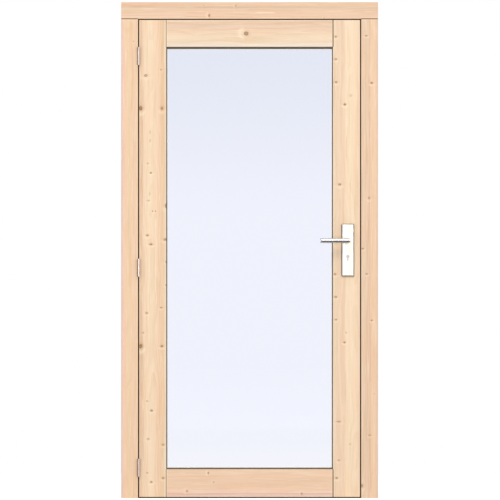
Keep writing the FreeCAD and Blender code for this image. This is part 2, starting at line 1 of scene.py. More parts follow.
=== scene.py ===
import bpy
import numpy as np
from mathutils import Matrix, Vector


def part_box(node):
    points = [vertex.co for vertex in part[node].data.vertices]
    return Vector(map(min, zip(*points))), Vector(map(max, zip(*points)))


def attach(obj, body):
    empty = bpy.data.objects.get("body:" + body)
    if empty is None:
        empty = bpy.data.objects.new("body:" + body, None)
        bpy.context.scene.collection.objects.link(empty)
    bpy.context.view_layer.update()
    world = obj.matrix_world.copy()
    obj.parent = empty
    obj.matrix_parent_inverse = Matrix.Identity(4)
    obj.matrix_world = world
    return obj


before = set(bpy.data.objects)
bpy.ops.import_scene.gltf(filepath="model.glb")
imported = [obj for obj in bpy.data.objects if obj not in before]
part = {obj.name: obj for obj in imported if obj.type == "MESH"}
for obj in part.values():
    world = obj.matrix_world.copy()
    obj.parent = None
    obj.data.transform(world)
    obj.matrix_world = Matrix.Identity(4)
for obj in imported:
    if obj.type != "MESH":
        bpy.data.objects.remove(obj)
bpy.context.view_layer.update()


# The studio. The door stands on a white floor and is looked at square on, from far enough away
# that its sides don't show. A broad lamp hangs high in front, two weak ones fill from low down,
# and the room and the floor are white wherever the camera, the glass or the metal looks at them.
view = bpy.data.cameras.new("front_view")
view.lens = 250
view.sensor_width = 36
view.clip_end = 100
camera = bpy.data.objects.new("front_view", view)
camera.location = (0.5442, -14.711, 1.0483)
camera.rotation_euler = (np.pi / 2, 0, 0)
bpy.context.scene.collection.objects.link(camera)
bpy.context.scene.camera = camera
bpy.context.scene.view_settings.view_transform = "Standard"


def add(tree, kind, feeds=(), **settings):
    """Adds one shader node, sets it, and feeds its sockets with plain values or other nodes' outputs. A
    socket that is fed None keeps its own value."""
    made = tree.nodes.new("ShaderNode" + kind)
    for name, value in settings.items():
        setattr(made, name, value)
    for name, value in dict(feeds).items():
        if isinstance(value, bpy.types.NodeSocket):
            tree.links.new(value, made.inputs[name])
        elif value is not None:
            made.inputs[name].default_value = value
    return made


def sum_up(tree, operation, *values):
    """The output of one Math node for these values or outputs."""
    return add(tree, "Math", dict(enumerate(values)), operation=operation).outputs[0]


def times(tree, value, by):
    """A value times a number or an output."""
    return sum_up(tree, "MULTIPLY", value, by)


def looking_out(tree):
    """1 for a ray from the camera, off a polished surface or through glass, and 0 for plain light."""
    ray = add(tree, "LightPath").outputs
    seen = sum_up(tree, "MAXIMUM", ray["Is Camera Ray"], ray["Is Glossy Ray"])
    return sum_up(tree, "MAXIMUM", seen, ray["Is Transmission Ray"])


room = bpy.data.worlds.new("white_room")
bpy.context.scene.world = room
room.use_nodes = True
tree = room.node_tree
tree.nodes.clear()
room_light = add(tree, "Background", {"Color": (0.62, 0.62, 0.62, 1), "Strength": 1.0})
room_seen = add(tree, "Background", {"Color": (1, 1, 1, 1), "Strength": 1.0})
room_mix = add(tree, "MixShader", {0: looking_out(tree), 1: room_light.outputs[0], 2: room_seen.outputs[0]})
add(tree, "OutputWorld", {"Surface": room_mix.outputs[0]})


def hang_lamp(name, place, aim, size, power, reflected=True):
    """A square soft lamp at a place, turned to its aim. Polished surfaces may reflect it or not."""
    lamp = bpy.data.lights.new(name, "AREA")
    lamp.shape = "SQUARE"
    lamp.size = size
    lamp.energy = power
    hung = bpy.data.objects.new(name, lamp)
    hung.location = place
    hung.rotation_euler = (Vector(aim) - Vector(place)).to_track_quat("-Z", "Y").to_euler()
    hung.visible_glossy = reflected
    bpy.context.scene.collection.objects.link(hung)


hang_lamp("high_lamp", (-1.5, -9.0, 10.0), (0.54, 0, 1.0), 4.0, 418)
hang_lamp("side_lamp", (3.5, -7.0, 0.7), (0.54, 0, 0.6), 2.0, 105)
hang_lamp("low_lamp", (-2.2, -6.0, 0.7), (0.54, 0, 0.3), 1.2, 22, reflected=False)


def new_mesh(name, points, faces, body=None, smooth=True):
    """A piece from points and a list of faces. Part of the door rides on a body, and part of the studio
    has none."""
    mesh = bpy.data.meshes.new(name)
    mesh.from_pydata(np.asarray(points).tolist(), [], [list(map(int, face)) for face in faces])
    mesh.polygons.foreach_set("use_smooth", [smooth] * len(mesh.polygons))
    mesh.update()
    piece = bpy.data.objects.new(name, mesh)
    bpy.context.scene.collection.objects.link(piece)
    if body:
        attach(piece, body)
    return piece


def new_material(name):
    """A material without any nodes yet, and its tree."""
    material = bpy.data.materials.new(name)
    material.use_nodes = True
    material.node_tree.nodes.clear()
    return material, material.node_tree


def dress(piece, material):
    """Gives a piece one material."""
    piece.data.materials.clear()
    piece.data.materials.append(material)


left, right, front, back = -9.0, 10.0, -16.0, 1.5
floor_points = [(left, front, 0), (right, front, 0), (right, back, 0), (left, back, 0)]
floor = new_mesh("studio_floor", floor_points, [(0, 1, 2, 3)], smooth=False)
paper, tree = new_material("white_paper")
point = add(tree, "TexCoord").outputs["Object"]
paper_tone = add(tree, "TexNoise", {"Vector": point, "Scale": 3.0, "Detail": 3.0}).outputs["Fac"]
paper_shades = {"Color1": (0.80, 0.80, 0.80, 1), "Color2": (0.84, 0.84, 0.84, 1)}
paper_shade = add(tree, "MixRGB", {"Fac": paper_tone, **paper_shades}).outputs[0]
matt = add(tree, "BsdfDiffuse", {"Color": paper_shade})

# The paper is lit from below, so that it shows white, and a little less where glass is looked
# through. It isn't lit under the door, so that the gap there stays dark.
half_width, half_depth, glow_strength, kept_behind_glass = 0.5425, 0.046, 0.55, 0.72
from_middle = add(tree, "VectorMath", {0: point, 1: (half_width, 0, 0)}, operation="SUBTRACT").outputs[0]
off_middle = add(tree, "VectorMath", {0: from_middle}, operation="ABSOLUTE").outputs[0]
off_middle = add(tree, "SeparateXYZ", {0: off_middle}).outputs
within_width = sum_up(tree, "LESS_THAN", off_middle["X"], half_width)
under_door = times(tree, within_width, sum_up(tree, "LESS_THAN", off_middle["Y"], half_depth))
lit_from_below = sum_up(tree, "MULTIPLY_ADD", under_door, -glow_strength, glow_strength)
through_glass = add(tree, "LightPath").outputs["Is Transmission Ray"]
dimmed = sum_up(tree, "MULTIPLY_ADD", through_glass, kept_behind_glass - 1.0, 1.0)
lit_from_below = times(tree, lit_from_below, dimmed)
lit_from_below = times(tree, looking_out(tree), lit_from_below)
glow = add(tree, "Emission", {"Color": (1, 1, 1, 1), "Strength": lit_from_below})
both = add(tree, "AddShader", {0: matt.outputs[0], 1: glow.outputs[0]})
add(tree, "OutputMaterial", {"Surface": both.outputs[0]})
dress(floor, paper)

# Three dark cards stand round the front, one low and one to each side, as a photographer sets
# them. Only what is polished reflects them: they give plates, knuckles and bars dark edges.
near, far, left, right, top = -0.12, -5.5, -1.9, 3.0, 3.3
card_points = np.array([
    (left, far, 0.01), (right, far, 0.01), (right, near, 0.01), (left, near, 0.01),
    (left, far, 0.02), (left, near, 0.02), (left, near, top), (left, far, top),
    (right, near, 0.02), (right, far, 0.02), (right, far, top), (right, near, top),
])
cards = new_mesh("studio_cards", card_points, np.arange(12).reshape(3, 4), smooth=False)
cards.visible_camera = cards.visible_diffuse = cards.visible_shadow = cards.visible_transmission = False
black, tree = new_material("dark_card")
felt = add(tree, "TexNoise", {"Vector": add(tree, "TexCoord").outputs["Object"], "Scale": 4.0})
felt_shades = {"Color1": (0.10, 0.09, 0.09, 1), "Color2": (0.14, 0.12, 0.12, 1)}
felt_shade = add(tree, "MixRGB", {"Fac": felt.outputs["Fac"], **felt_shades}).outputs[0]
add(tree, "OutputMaterial", {"Surface": add(tree, "BsdfDiffuse", {"Color": felt_shade}).outputs[0]})
dress(cards, black)


# The hinge post. A planed spruce post, 71 by 90 mm, left bare, with small knots and soft pink
# and cream bands. The three hinge plates are let into its inner side, and its top is cut to a
# tenon that goes up into the head.
def shade(red, green, blue):
    """A colour as it is read off the surface, 0 to 255 each, turned into the light that it sends back."""
    part_of = np.array((red, green, blue)) / 255
    light = np.where(part_of <= 0.04045, part_of / 12.92, ((part_of + 0.055) / 1.055) ** 2.4)
    return (*light.tolist(), 1.0)


def new_group(name, takes, gives):
    """An empty shader group with these named sockets, and its two end nodes."""
    group = bpy.data.node_groups.new(name, "ShaderNodeTree")
    for label, kind, start in takes:
        socket = group.interface.new_socket(label, in_out="INPUT", socket_type="NodeSocket" + kind)
        if start is not None:
            socket.default_value = start
    for label, kind in gives:
        group.interface.new_socket(label, in_out="OUTPUT", socket_type="NodeSocket" + kind)
    return group, group.nodes.new("NodeGroupInput").outputs, group.nodes.new("NodeGroupOutput").inputs


def ease_between(tree, value, start, end, low=0.0, high=1.0):
    """Goes smoothly from low to high while the value goes from start to end."""
    feeds = {"Value": value, "From Min": start, "From Max": end, "To Min": low, "To Max": high}
    return add(tree, "MapRange", feeds, interpolation_type="SMOOTHSTEP").outputs["Result"]


def noise(tree, point, scale=1.0, detail=2.0, rough=0.5):
    """Cloudy noise about one half at a point, already stretched as it should be."""
    feeds = {"Vector": point, "Scale": scale, "Detail": detail, "Roughness": rough}
    return add(tree, "TexNoise", feeds).outputs["Fac"]


def stretch(tree, point, across, through, along):
    """The point with its three measures multiplied."""
    feeds = {0: point, 1: (across, through, along)}
    return add(tree, "VectorMath", feeds, operation="MULTIPLY").outputs[0]


# A branch that goes straight through the board. Beside it the fibres flow as water flows round
# a post: a fibre at a distance across is carried off by that distance times the radius squared
# over the square of the full distance from the branch. Round it lies a darker halo, and below it
# a paler patch, which counts as a negative halo.
knot_group, given, gives = new_group(
    "knot",
    [("Board", "Vector", None), ("Line", "Float", 0.0), ("Heart", "Float", 0.0), ("Halo", "Float", 0.0),
     ("Across", "Float", 0.0), ("Along", "Float", 0.0), ("Radius", "Float", 0.005), ("Length", "Float", 1.2),
     ("Dark", "Float", 1.0)],
    [("Line", "Float"), ("Heart", "Float"), ("Halo", "Float")],
)
tree = knot_group
board = add(tree, "SeparateXYZ", {0: given["Board"]}).outputs
ragged = noise(tree, given["Board"], 240.0, 2.0)
off = sum_up(tree, "SUBTRACT", given["Line"], given["Across"])
rising = sum_up(tree, "MULTIPLY_ADD", board["Y"], 0.25, given["Along"])
leaning = sum_up(tree, "MULTIPLY_ADD", given["Line"], 0.001, board["Z"])
up = sum_up(tree, "DIVIDE", sum_up(tree, "SUBTRACT", leaning, rising), given["Length"])
squared = sum_up(tree, "ADD", times(tree, off, off), times(tree, up, up))
radius_squared = times(tree, given["Radius"], given["Radius"])
carried = times(tree, off, radius_squared)
carried = sum_up(tree, "DIVIDE", carried, sum_up(tree, "MAXIMUM", squared, radius_squared))
tree.links.new(sum_up(tree, "SUBTRACT", given["Line"], times(tree, carried, 1.5)), gives["Line"])
distance = sum_up(tree, "DIVIDE", sum_up(tree, "SQRT", squared), given["Radius"])
distance = sum_up(tree, "ADD", distance, sum_up(tree, "MULTIPLY_ADD", ragged, 1.3, -0.65))
ringed = sum_up(tree, "MULTIPLY_ADD", sum_up(tree, "SINE", times(tree, distance, 16.0)), 0.10, 0.90)
ringed = times(tree, ringed, ease_between(tree, distance, 0.5, 0.95, 0.7, 1.0))
ringed = times(tree, ringed, given["Dark"])
heart = times(tree, ease_between(tree, distance, 1.2, 0.85), ringed)
halo = times(tree, ease_between(tree, distance, 3.2, 0.9), given["Dark"])
tree.links.new(sum_up(tree, "MAXIMUM", given["Heart"], heart), gives["Heart"])
below = ease_between(tree, sum_up(tree, "DIVIDE", up, given["Radius"]), 0.2, -1.8)
below = times(tree, below, given["Dark"])
pale = times(tree, ease_between(tree, distance, 5.0, 2.2), below)
halo = sum_up(tree, "ADD", given["Halo"], halo)
tree.links.new(sum_up(tree, "SUBTRACT", halo, times(tree, pale, 0.9)), gives["Halo"])

# A streak in the grain: a soft band about one fibre, swaying a little, between two heights.
streak_group, given, gives = new_group(
    "streak",
    [("Board", "Vector", None), ("Line", "Float", 0.0), ("Streaks", "Float", 0.0), ("Across", "Float", 0.0),
     ("Low", "Float", 0.0), ("High", "Float", 1.0), ("Width", "Float", 0.002), ("Sway", "Float", 0.0),
     ("Strength", "Float", 0.5)],
    [("Streaks", "Float"), ("Line", "Float")],
)
tree = streak_group
along = add(tree, "SeparateXYZ", {0: given["Board"]}).outputs["Z"]
along = sum_up(tree, "MULTIPLY_ADD", given["Line"], 0.001, along)
own = times(tree, given["Across"], 90.0)
swaying = add(tree, "CombineXYZ", {"X": own, "Z": times(tree, along, 7.0)}).outputs[0]
swaying = noise(tree, swaying)
middle = sum_up(tree, "MULTIPLY_ADD", sum_up(tree, "SUBTRACT", swaying, 0.5), given["Sway"], given["Across"])
aside = sum_up(tree, "ABSOLUTE", sum_up(tree, "SUBTRACT", given["Line"], middle))
aside = sum_up(tree, "DIVIDE", aside, given["Width"])
over_low = sum_up(tree, "SUBTRACT", along, given["Low"])
under_high = sum_up(tree, "SUBTRACT", given["High"], along)
inside = sum_up(tree, "MINIMUM", over_low, under_high)
inside = sum_up(tree, "DIVIDE", inside, times(tree, given["Width"], 5.0))
streak = times(tree, ease_between(tree, aside, 1.0, 0.2), ease_between(tree, inside, 0.0, 1.0))
streak = times(tree, streak, given["Strength"])
tree.links.new(sum_up(tree, "MAXIMUM", given["Streaks"], streak), gives["Streaks"])
tree.links.new(sum_up(tree, "MULTIPLY_ADD", streak, 0.0001, given["Line"]), gives["Line"])

# Bare spruce. The growth rings are circles about a pith that lies outside the board, drifting a
# little along the stem. Each ring darkens slowly to its late wood and then stops short. Over
# them lie broad soft bands of pink and grey, fine fibres, and a few resin flecks.
spruce_group, given, gives = new_group(
    "spruce",
    [("Board", "Vector", None), ("Line", "Float", 0.0), ("Heart", "Float", 0.0), ("Halo", "Float", 0.0),
     ("Dark Streaks", "Float", 0.0), ("Pale Streaks And Edge Highlights", "Float", 0.0), ("Joint", "Float", 0.0),
     ("Side", "Float", 0.0), ("Tone", "Color", (0.9, 0.7, 0.5, 1)),
     ("Pith Across", "Float", 0.03), ("Pith Through", "Float", 0.12),
     ("Ring", "Float", 0.004), ("Figure", "Float", 1.0), ("Seed", "Float", 0.0)],
    [("Color", "Color"), ("Roughness", "Float"), ("Height", "Float")],
)
tree = spruce_group
board = add(tree, "SeparateXYZ", {0: given["Board"]}).outputs
shifted = sum_up(tree, "MULTIPLY_ADD", given["Seed"], 3.7, board["Z"])
shifted = add(tree, "CombineXYZ", {"X": given["Line"], "Y": board["Y"], "Z": shifted}).outputs[0]
drift = noise(tree, stretch(tree, shifted, 9.0, 9.0, 2.4), 1.0, 2.0)
from_pith = add(tree, "CombineXYZ", {
    "X": sum_up(tree, "SUBTRACT", given["Line"], given["Pith Across"]),
    "Y": sum_up(tree, "SUBTRACT", board["Y"], given["Pith Through"]),
}).outputs[0]
radius = add(tree, "VectorMath", {0: from_pith}, operation="LENGTH").outputs["Value"]
radius = sum_up(tree, "MULTIPLY_ADD", drift, 0.020, radius)
years = sum_up(tree, "DIVIDE", radius, given["Ring"])
uneven = add(tree, "TexNoise", {"W": years, "Scale": 0.45, "Detail": 1.0}, noise_dimensions="1D")
years = sum_up(tree, "MULTIPLY_ADD", uneven.outputs["Fac"], 1.6, years)
season = sum_up(tree, "FRACT", years)
late = times(tree, ease_between(tree, season, 0.25, 0.93), ease_between(tree, season, 1.0, 0.95))
weak = noise(tree, stretch(tree, shifted, 40.0, 40.0, 0.8), 1.0, 1.0)
weak = ease_between(tree, weak, 0.35, 0.7, 0.35, 1.0)
late = times(tree, late, weak)
pink = ease_between(tree, noise(tree, stretch(tree, shifted, 55.0, 55.0, 3.2), 1.0, 2.0), 0.45, 0.75)
pale = ease_between(tree, noise(tree, stretch(tree, shifted, 120.0, 120.0, 5.5), 1.3, 2.0), 0.50, 0.80)
grey = ease_between(tree, noise(tree, stretch(tree, shifted, 90.0, 90.0, 4.5), 0.8, 2.0), 0.50, 0.78)
fibre = noise(tree, stretch(tree, shifted, 1100.0, 1100.0, 26.0), 1.0, 3.0, 0.6)
line = noise(tree, stretch(tree, shifted, 380.0, 380.0, 4.5), 1.0, 2.0)


def scattered(tree, point, size, share):
    """Slim marks scattered along the grain: one in a share of the cells of a stretched honeycomb."""
    cells = add(tree, "TexVoronoi", {"Vector": point, "Scale": 1.0})
    chance = add(tree, "SeparateColor", {0: cells.outputs["Color"]}).outputs[0]
    chosen = sum_up(tree, "LESS_THAN", chance, share)
    return times(tree, ease_between(tree, cells.outputs["Distance"], size, size * 0.3), chosen)


fleck = scattered(tree, stretch(tree, shifted, 150.0, 150.0, 15.0), 0.20, 0.16)
dash = scattered(tree, stretch(tree, shifted, 165.0, 165.0, 9.0), 0.30, 0.20)


def tinted(tree, under, amount, colour, blend="MULTIPLY"):
    """The colour under it, tinted by as much as the amount says."""
    feeds = {"Fac": amount, "Color1": under, "Color2": colour}
    return add(tree, "MixRGB", feeds, blend_type=blend).outputs[0]


colour = tinted(tree, given["Tone"], times(tree, late, given["Figure"]), (0.86, 0.80, 0.72, 1))
colour = tinted(tree, colour, pink, (1.0, 0.945, 0.915, 1))
colour = tinted(tree, colour, times(tree, pale, 0.45), (1.0, 0.86, 0.66, 1), "MIX")
colour = tinted(tree, colour, grey, (0.93, 0.92, 0.90, 1))
colour = tinted(tree, colour, ease_between(tree, fibre, 0.35, 0.75), (0.95, 0.935, 0.92, 1))
colour = tinted(tree, colour, ease_between(tree, line, 0.5, 0.75), (0.965, 0.955, 0.935, 1))
colour = tinted(tree, colour, times(tree, fleck, 0.55), (0.84, 0.76, 0.66, 1))
colour = tinted(tree, colour, times(tree, dash, 0.45), (1.0, 0.86, 0.66, 1), "MIX")
colour = tinted(tree, colour, given["Dark Streaks"], (0.74, 0.66, 0.58, 1))
# The pale streaks also carry the painted highlights beside the boards' edges.
colour = tinted(tree, colour, given["Pale Streaks And Edge Highlights"], (1.0, 0.85, 0.64, 1), "MIX")
paler = ease_between(tree, given["Halo"], 0.0, -1.0, 0.0, 0.6)
darker = ease_between(tree, given["Halo"], 0.0, 1.0, 0.0, 0.5)
colour = tinted(tree, colour, paler, (1.0, 0.85, 0.64, 1), "MIX")
colour = tinted(tree, colour, darker, (0.86, 0.78, 0.66, 1))
colour = tinted(tree, colour, times(tree, given["Heart"], 0.92), (0.19, 0.085, 0.03, 1), "MIX")
# Painted shade: the sides of the boards that face the gaps round the leaf go dark brown, as the gap's shade.
colour = tinted(tree, colour, given["Side"], (0.50, 0.21, 0.045, 1), "MIX")
colour = tinted(tree, colour, given["Joint"], (0.18, 0.065, 0.012, 1), "MIX")
tree.links.new(colour, gives["Color"])
dense = sum_up(tree, "ADD", late, given["Heart"])
tree.links.new(ease_between(tree, dense, 0.0, 1.0, 0.62, 0.45), gives["Roughness"])
tree.links.new(sum_up(tree, "MULTIPLY_ADD", fibre, 0.5, times(tree, late, -0.6)), gives["Height"])

# The places of the colours across a board come from how it was sawn: cream sapwood on one side,
# pinker and greyer heartwood on the other.
cream = shade(251, 226, 195)
straw = shade(248, 219, 189)
peach = shade(245, 211, 179)
rose = shade(242, 208, 183)
drab = shade(237, 207, 178)
honey = shade(243, 214, 177)
bleached = shade(247, 228, 205)


class Timber:
    """One board's own material: where it lies, how its colour goes across it, and the branches in it."""

    def __init__(self, name, corner, level, width, tones, pith, figure, seed, ring=0.004):
        """Turns and shifts the point so that X runs across the board, Y through it and Z along it, from its
        corner. Tones are pairs of a share of the width and a colour, and the pith's place is across and
        through. A level board lies along the door's X."""
        self.material, self.tree = new_material(name)
        tree = self.tree
        x, y, z = corner
        place, turn = ((z, -y, -x), (0, -np.pi / 2, 0)) if level else ((-x, -y, -z), (0, 0, 0))
        point = add(tree, "TexCoord").outputs["Object"]
        feeds = {"Vector": point, "Location": place, "Rotation": turn}
        self.point = add(tree, "Mapping", feeds, vector_type="POINT").outputs[0]
        if level:
            self.point = stretch(tree, self.point, -1.0, 1.0, 1.0)
        self.line = add(tree, "SeparateXYZ", {0: self.point}).outputs["X"]
        self.heart = self.halo = self.dark = self.pale = self.joint = self.side = None
        self.sawn = width, tones, pith, ring, figure, seed

    def knot(self, across, along, radius, dark, length=0.8):
        """Puts a branch at so far across and along the board, in metres from its corner."""
        feeds = {"Board": self.point, "Line": self.line, "Heart": self.heart, "Halo": self.halo,
                 "Across": across, "Along": along, "Radius": radius, "Length": length, "Dark": dark}
        run = add(self.tree, "Group", feeds, node_tree=knot_group)
        self.line, self.heart, self.halo = run.outputs

    def streak(self, across, low, high, width, strength, sway=0.0, pale=False):
        """Darkens or pales one band of the grain between two heights."""
        feeds = {"Board": self.point, "Line": self.line, "Streaks": self.pale if pale else self.dark,
                 "Across": across, "Low": low, "High": high, "Width": width, "Sway": sway,
                 "Strength": strength}
        run = add(self.tree, "Group", feeds, node_tree=streak_group)
        self.line = run.outputs["Line"]
        if pale:
            self.pale = run.outputs["Streaks"]
        else:
            self.dark = run.outputs["Streaks"]

    def edge(self, axis, place, width, low=-9.0, high=9.0):
        """Marks an edge across an axis, between two heights or all along. It is a brown joint line of this
        width, or, where the edge stands free and the width is 0, a side painted dark brown as painted shade,
        the shade inside the gap round the leaf. A paler band beside it, on the rounded edge, is a painted
        highlight. The bounds of 9 metres are farther than any board reaches."""
        tree = self.tree
        measures = add(tree, "SeparateXYZ", {0: self.point}).outputs
        off = sum_up(tree, "ABSOLUTE", sum_up(tree, "SUBTRACT", measures[axis], place))
        along = measures["X" if axis == "Z" else "Z"]
        within = sum_up(tree, "GREATER_THAN", along, low)
        within = times(tree, within, sum_up(tree, "LESS_THAN", along, high))
        strength = 0.78 if width else 0.95
        line = ease_between(tree, off, width + 0.0003, width * 0.7 + 0.0001, 0.0, strength)
        line = times(tree, line, within)
        # On a free edge the mark is painted shade on the side that faces the gap.
        if width:
            self.joint = sum_up(tree, "MAXIMUM", line, self.joint) if self.joint else line
        else:
            self.side = sum_up(tree, "MAXIMUM", line, self.side) if self.side else line
        # The pale band beside the edge is a painted highlight.
        arris_highlight = ease_between(tree, off, width + 0.0045, width + 0.001, 0.0, 0.35)
        arris_highlight = times(tree, arris_highlight, within)
        self.pale = sum_up(tree, "MAXIMUM", arris_highlight, self.pale) if self.pale else arris_highlight

    def finish(self, name):
        """Joins the board's colour and grain to its surface and puts it on a piece."""
        tree = self.tree
        width, tones, pith, ring, figure, seed = self.sawn
        wander = noise(tree, stretch(tree, self.point, 14.0, 14.0, 1.1), 1.0, 2.0)
        place = sum_up(tree, "MULTIPLY_ADD", wander, 0.010, sum_up(tree, "SUBTRACT", self.line, 0.005))
        place = sum_up(tree, "DIVIDE", place, width)
        ramp = add(tree, "ValToRGB", {"Fac": place})
        ramp.color_ramp.interpolation = "EASE"
        while len(ramp.color_ramp.elements) < len(tones):
            ramp.color_ramp.elements.new(0.5)
        for element, (at, tone) in zip(ramp.color_ramp.elements, tones):
            element.position = at
            element.color = tone
        feeds = {"Board": self.point, "Line": self.line, "Heart": self.heart, "Halo": self.halo,
                 "Tone": ramp.outputs["Color"], "Dark Streaks": self.dark, "Pale Streaks And Edge Highlights": self.pale,
                 "Joint": self.joint, "Side": self.side, "Pith Across": pith[0], "Pith Through": pith[1],
                 "Ring": ring, "Figure": figure, "Seed": seed}
        run = add(tree, "Group", feeds, node_tree=spruce_group)
        bump = add(tree, "Bump", {"Strength": 0.25, "Distance": 0.0003, "Height": run.outputs["Height"]})
        skin = add(tree, "BsdfPrincipled", {
            "Base Color": run.outputs["Color"], "Roughness": run.outputs["Roughness"],
            "Normal": bump.outputs[0], "Specular IOR Level": 0.0,
        })
        add(tree, "OutputMaterial", {"Surface": skin.outputs[0]})
        dress(part[name], self.material)


post_width, frame_face, post_height, post_seam, free = 0.071, -0.045, 2.025, 0.0026, 0.0
# Its first tone, greyer, along the post's outer edge is painted shade on its rounded edge.
hinge_post = Timber(
    "spruce_hinge_post", (0, frame_face, 0), False, post_width,
    [(0.02, shade(229, 205, 188)), (0.12, shade(246, 211, 189)), (0.19, shade(250, 208, 182)), (0.28, peach),
     (0.45, honey), (0.6, peach), (1.0, shade(245, 212, 181))],
    (0.02, 0.15), seed=1.3, figure=0.3)
hinge_post.knot(0.052, 1.93, 0.003, 0.35)
hinge_post.streak(0.046, 1.62, 1.78, 0.004, 0.18, 0.012)
hinge_post.streak(0.054, 1.10, 1.24, 0.004, 0.15, 0.02)
hinge_post.streak(0.060, 0.66, 0.86, 0.003, 0.15, 0.01)
hinge_post.edge("Z", post_height, post_seam)
hinge_post.edge("X", post_width, free)
hinge_post.finish("hinge_jamb")


# The lock post. Its match on the right, from a stem with more branches: a pinker band runs down
# its outer half and fine lines follow the grain below each knot.
lock_post = Timber(
    "spruce_lock_post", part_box("lock_jamb")[0], False, post_width,
    [(0.0, shade(240, 210, 182)), (0.3, drab), (0.52, shade(238, 205, 176)), (0.6, peach), (0.82, peach),
     (0.9, shade(240, 205, 176)), (0.97, shade(232, 206, 184))],
    (-0.02, 0.09), ring=0.0045, seed=4.1, figure=0.5)
lock_post.knot(0.021, 1.953, 0.005, 0.7, 0.5)
lock_post.knot(0.044, 1.754, 0.005, 0.8)
lock_post.knot(0.033, 1.268, 0.003, 0.7, 1.6)
lock_post.knot(0.006, 1.054, 0.004, 0.7)
lock_post.knot(0.023, 0.947, 0.004, 0.7)
lock_post.knot(0.044, 0.751, 0.004, 0.7, 0.7)
lock_post.knot(0.055, 0.440, 0.003, 0.3)
lock_post.knot(0.036, 0.266, 0.004, 0.55)
lock_post.knot(0.004, 0.052, 0.004, 0.7, 1.8)
lock_post.streak(0.036, 1.66, 1.79, 0.0018, 0.35, 0.004)
lock_post.streak(0.035, 1.52, 1.64, 0.0025, 0.30, 0.004)
lock_post.streak(0.040, 0.49, 0.74, 0.0016, 0.60, 0.006)
lock_post.streak(0.036, 0.02, 0.255, 0.0018, 0.40, 0.004)
lock_post.streak(0.041, 0.04, 0.23, 0.0012, 0.25, 0.004)
lock_post.streak(0.058, 1.80, 1.94, 0.0015, 0.25, 0.03)
lock_post.edge("Z", post_height, post_seam)
lock_post.edge("X", 0.0, free)
lock_post.finish("lock_jamb")


# The head. A third length of the same planed spruce, laid level over both posts. Its grain runs
# along it, with a stronger orange line close under the top edge.
head_height, second_post = 0.070, 1.014
head = Timber(
    "spruce_head", (0, frame_face, post_height), True, head_height,
    [(0.0, shade(245, 213, 182)), (0.08, shade(241, 207, 177)), (0.35, shade(242, 208, 180)),
     (0.55, shade(238, 205, 176)), (0.72, shade(233, 203, 175)), (0.78, shade(236, 204, 176)),
     (0.84, shade(242, 203, 169)), (1.0, shade(236, 206, 180))],
    (0.10, 0.10), seed=7.7, figure=0.4)
head.knot(0.014, 0.372, 0.005, 0.8)
head.knot(0.054, 0.484, 0.004, 0.5)
head.knot(0.056, 0.348, 0.003, 0.3)
head.knot(0.003, 0.857, 0.003, 0.4)
head.streak(0.027, 0.21, 0.38, 0.0018, 0.30, 0.006)
head.streak(0.008, 0.27, 0.56, 0.0018, 0.30, 0.004)
head.streak(0.030, 0.10, 0.22, 0.0014, 0.25, 0.004)
head.streak(0.047, 0.24, 0.40, 0.0035, 0.18, 0.004)
head.streak(0.026, 0.56, 0.66, 0.0045, 0.55, 0.004, pale=True)
head.edge("X", 0.0, post_seam, high=post_width)
head.edge("X", 0.0, post_seam, low=second_post)
head.edge("X", 0.0, free, post_width, second_post)
head.finish("frame_head")


# The stops. Three planed strips, 17 by 45 mm, are screwed to the posts and the head behind the
# leaf. They show from the back and in the open doorway.
stops = (("hinge_side_stop", False, 0.045, 11.0), ("lock_side_stop", False, 0.045, 13.5),
         ("head_stop", True, 0.017, 15.2))
for name, level, width, seed in stops:
    tones = [(0.0, peach), (0.5, straw), (1.0, rose)]
    stop = Timber("spruce_" + name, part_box(name)[0], level, width, tones, (0.05, 0.08), seed=seed, figure=0.5)
    stop.knot(0.008, 0.41, 0.003, 0.6)
    stop.knot(0.012, 0.77, 0.003, 0.4)
    stop.finish(name)


# The threshold. A low oiled hardwood strip between the stops, darker than the rest so that feet
# don't mark it.
threshold = Timber(
    "oiled_threshold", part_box("threshold")[0], True, 0.045,
    [(0.0, shade(134, 92, 60)), (0.5, shade(150, 104, 68)), (1.0, shade(126, 86, 56))],
    (0.02, 0.10), ring=0.0025, seed=19.0, figure=0.9)
threshold.finish("threshold")


# The seals. Four extruded strips of brown rubber with a dull skin stand on the stops and the
# threshold, and the leaf closes on them.
def plain_skin(name, colour, rough, feeds, mottle=0.12):
    """A dull moulded surface: one colour, cloudy at a small scale, with a fine bump."""
    cloud_scale, bump_scale = 60.0, 1500.0
    material, tree = new_material(name)
    point = add(tree, "TexCoord").outputs["Object"]
    cloud = noise(tree, point, cloud_scale, 4.0, 0.6)
    fine = noise(tree, point, bump_scale, 2.0)
    darker = tuple(c * (1 - mottle) for c in colour[:3]) + (1.0,)
    body = add(tree, "MixRGB", {"Fac": cloud, "Color1": darker, "Color2": colour}).outputs[0]
    lumps = add(tree, "Bump", {"Strength": 0.1, "Distance": 0.0002, "Height": fine}).outputs[0]
    worn = ease_between(tree, cloud, 0.3, 0.7, rough, rough + 0.1)
    skin = add(tree, "BsdfPrincipled", {"Base Color": body, "Roughness": worn, "Normal": lumps, **feeds})
    add(tree, "OutputMaterial", {"Surface": skin.outputs[0]})
    return material


brown_rubber = plain_skin("brown_rubber", shade(170, 94, 24), 0.7, {"Specular IOR Level": 0.0})
for name in ("head_seal", "hinge_side_seal", "lock_side_seal", "threshold_seal"):
    dress(part[name], brown_rubber)


